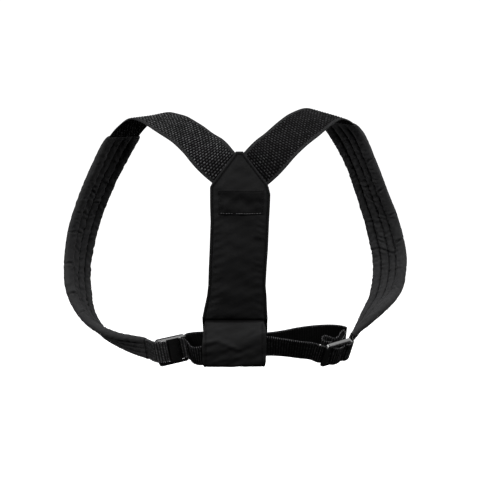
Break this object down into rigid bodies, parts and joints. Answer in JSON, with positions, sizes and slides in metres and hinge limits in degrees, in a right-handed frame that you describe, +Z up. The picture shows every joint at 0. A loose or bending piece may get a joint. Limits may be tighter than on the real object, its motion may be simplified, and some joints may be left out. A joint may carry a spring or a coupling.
{
  "type": "posture corrector",
  "caption": "Worn posture corrector: padded back panel, elastic shoulder straps running into padded arm straps, and a webbing belt with plastic sliders that draws the shoulders back.",
  "frame": {"origin": "midway between the two shoulders, on the line where the straps cross their tops", "axes": "+X across the shoulders to the wearer's right, +Y towards the wearer's chest, +Z up; the back panel lies at -Y"},
  "size_m": [0.4429, 0.1998, 0.3006],
  "materials": {
    "panel_fabric": "plain woven nylon, slight sheen",
    "pad_fabric": "soft woven nylon over foam, quilted",
    "label": "fine woven patch, bare",
    "elastic": "coarse knitted elastic with smooth selvedges",
    "webbing": "ribbed webbing",
    "slider_plastic": "moulded black plastic, satin gloss"
  },
  "bodies": {
    "root": {"back_panel": "panel_fabric", "belt_sleeve": "panel_fabric", "label": "label", "elastic_strap_left": "elastic", "elastic_strap_right": "elastic", "pad_left": "pad_fabric", "pad_right": "pad_fabric", "anchor_loop_left": "webbing", "anchor_loop_right": "webbing", "belt_webbing": "webbing", "slider_left": "slider_plastic", "slider_right": "slider_plastic"}
  },
  "joints": []
}
